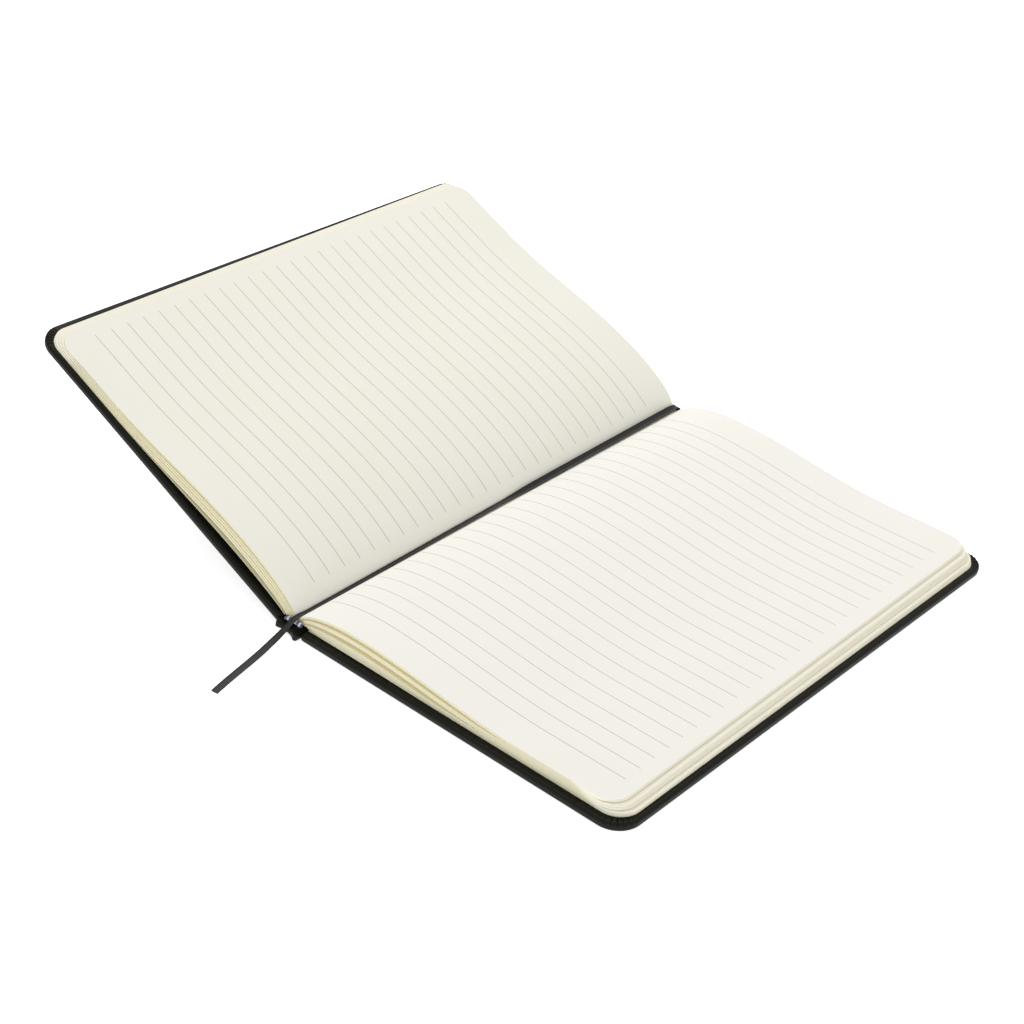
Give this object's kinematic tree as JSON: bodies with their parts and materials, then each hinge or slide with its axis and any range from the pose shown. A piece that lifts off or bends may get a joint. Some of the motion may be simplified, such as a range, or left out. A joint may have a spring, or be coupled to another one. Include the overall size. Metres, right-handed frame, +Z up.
{
  "type": "notebook",
  "caption": "Hardcover ruled notebook with rounded corners, lying open: padded leather-look case, sewn paper block, striped end bands and a ribbon marker. Covers fold shut, a leaf turns.",
  "frame": {"origin": "middle of the underside of the open book, on the table, measured without the loose ribbon", "axes": "+X across the open book towards the flat back cover, +Y along the spine towards the head, +Z up"},
  "size_m": [0.2648, 0.2502, 0.0613],
  "materials": {
    "leather": "satin",
    "greyboard": "matte",
    "paper": "matte",
    "endpaper": "matte",
    "lining": "matte",
    "band": "matte",
    "ribbon": "satin"
  },
  "bodies": {
    "back_cover": {"back_skin": "leather", "back_board": "greyboard", "back_pastedown": "endpaper", "back_flyleaf": "endpaper", "right_signature_1": "paper", "right_signature_2": "paper", "right_signature_3": "paper", "right_signature_4": "paper", "right_signature_5": "paper", "ribbon_marker": "ribbon"},
    "spine": {"spine_skin": "leather", "spine_board": "greyboard", "back_hinge_fold": "leather", "front_hinge_fold": "leather", "spine_lining": "lining", "head_band": "band", "tail_band": "band"},
    "front_cover": {"front_skin": "leather", "front_board": "greyboard", "front_pastedown": "endpaper", "front_flyleaf": "endpaper", "left_signature_1": "paper", "left_signature_2": "paper", "left_signature_3": "paper", "left_signature_4": "paper", "left_signature_5": "paper"},
    "leaf": {"turning_leaf": "paper"}
  },
  "joints": [
    {"name": "back_joint", "type": "hinge", "parent": "back_cover", "child": "spine", "pos_m": [-0.0027, 0, 0.0045], "axis": [0, 1, 0], "range_deg": [-12.5, 82.9], "deforming": ["back_hinge_fold", "front_hinge_fold", "spine_lining", "back_flyleaf", "front_flyleaf", "right_signature_1", "right_signature_2", "right_signature_3", "right_signature_4", "right_signature_5", "left_signature_1", "left_signature_2", "left_signature_3", "left_signature_4", "left_signature_5", "ribbon_marker"]},
    {"name": "front_joint", "type": "hinge", "parent": "spine", "child": "front_cover", "pos_m": [-0.00803, 0, 0.00516], "axis": [0, 1, 0], "range_deg": [-11, 72.6]},
    {"name": "leaf_turn", "type": "hinge", "parent": "back_cover", "child": "leaf", "pos_m": [-0.00537, 0, 0.00483], "axis": [0, 1, 0], "range_deg": [-100, 0], "deforming": ["turning_leaf"]}
  ],
  "couplings": [
    {"joint": "front_joint", "follows": "back_joint", "ratio": 0.8739}
  ]
}
